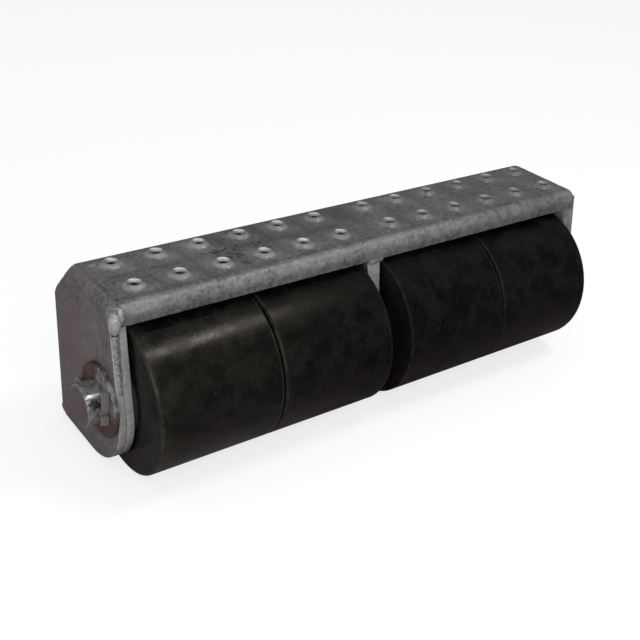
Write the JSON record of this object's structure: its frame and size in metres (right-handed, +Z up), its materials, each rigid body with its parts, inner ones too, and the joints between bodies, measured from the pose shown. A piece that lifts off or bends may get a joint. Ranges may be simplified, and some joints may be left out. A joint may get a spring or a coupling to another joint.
{
  "type": "buffer roller",
  "caption": "Dock buffer with rubber rollers on one axle, in a folded galvanised housing whose top is an anti-slip step.",
  "frame": {"origin": "centre of the wall bolt pattern, on the outer face of the back wall", "axes": "+X along the axle to the right as seen from the rollers' side, +Y out of the back wall towards the dock, +Z up towards the step"},
  "size_m": [0.489, 0.1462, 0.1462],
  "materials": {
    "galvanised_steel": "dull hot-dip zinc",
    "weld_zinc": "zinc over weld bead",
    "bright_zinc": "bright zinc",
    "washer_primer": "red primer",
    "bush_steel": "turned",
    "nylon": "plain",
    "black_rubber": "worn"
  },
  "bodies": {
    "frame": {"folded_housing": "galvanised_steel", "centre_rib": "galvanised_steel", "rib_weld": "weld_zinc", "axle": "bright_zinc", "left_outer_end_plate": "galvanised_steel", "left_inner_end_plate": "galvanised_steel", "left_end_weld": "weld_zinc", "left_axle_washer": "washer_primer", "left_split_pin": "bright_zinc", "right_outer_end_plate": "galvanised_steel", "right_inner_end_plate": "galvanised_steel", "right_end_weld": "weld_zinc", "right_axle_washer": "washer_primer", "right_split_pin": "bright_zinc", "thrust_washer_1": "nylon", "thrust_washer_2": "nylon", "thrust_washer_3": "nylon", "thrust_washer_4": "nylon", "thrust_washer_5": "nylon", "thrust_washer_6": "nylon"},
    "roller_1": {"rubber_roller_1": "black_rubber", "roller_bush_1": "bush_steel"},
    "roller_2": {"rubber_roller_2": "black_rubber", "roller_bush_2": "bush_steel"},
    "roller_3": {"rubber_roller_3": "black_rubber", "roller_bush_3": "bush_steel"},
    "roller_4": {"rubber_roller_4": "black_rubber", "roller_bush_4": "bush_steel"}
  },
  "joints": [
    {"name": "roller_1_spin", "type": "hinge", "parent": "frame", "child": "roller_1", "pos_m": [-0.15975, -0.0842, 0.0015], "axis": [1, 0, 0], "continuous": true},
    {"name": "roller_2_spin", "type": "hinge", "parent": "frame", "child": "roller_2", "pos_m": [-0.05905, -0.0842, 0.0015], "axis": [1, 0, 0], "continuous": true},
    {"name": "roller_3_spin", "type": "hinge", "parent": "frame", "child": "roller_3", "pos_m": [0.05905, -0.0842, 0.0015], "axis": [1, 0, 0], "continuous": true},
    {"name": "roller_4_spin", "type": "hinge", "parent": "frame", "child": "roller_4", "pos_m": [0.15975, -0.0842, 0.0015], "axis": [1, 0, 0], "continuous": true}
  ]
}
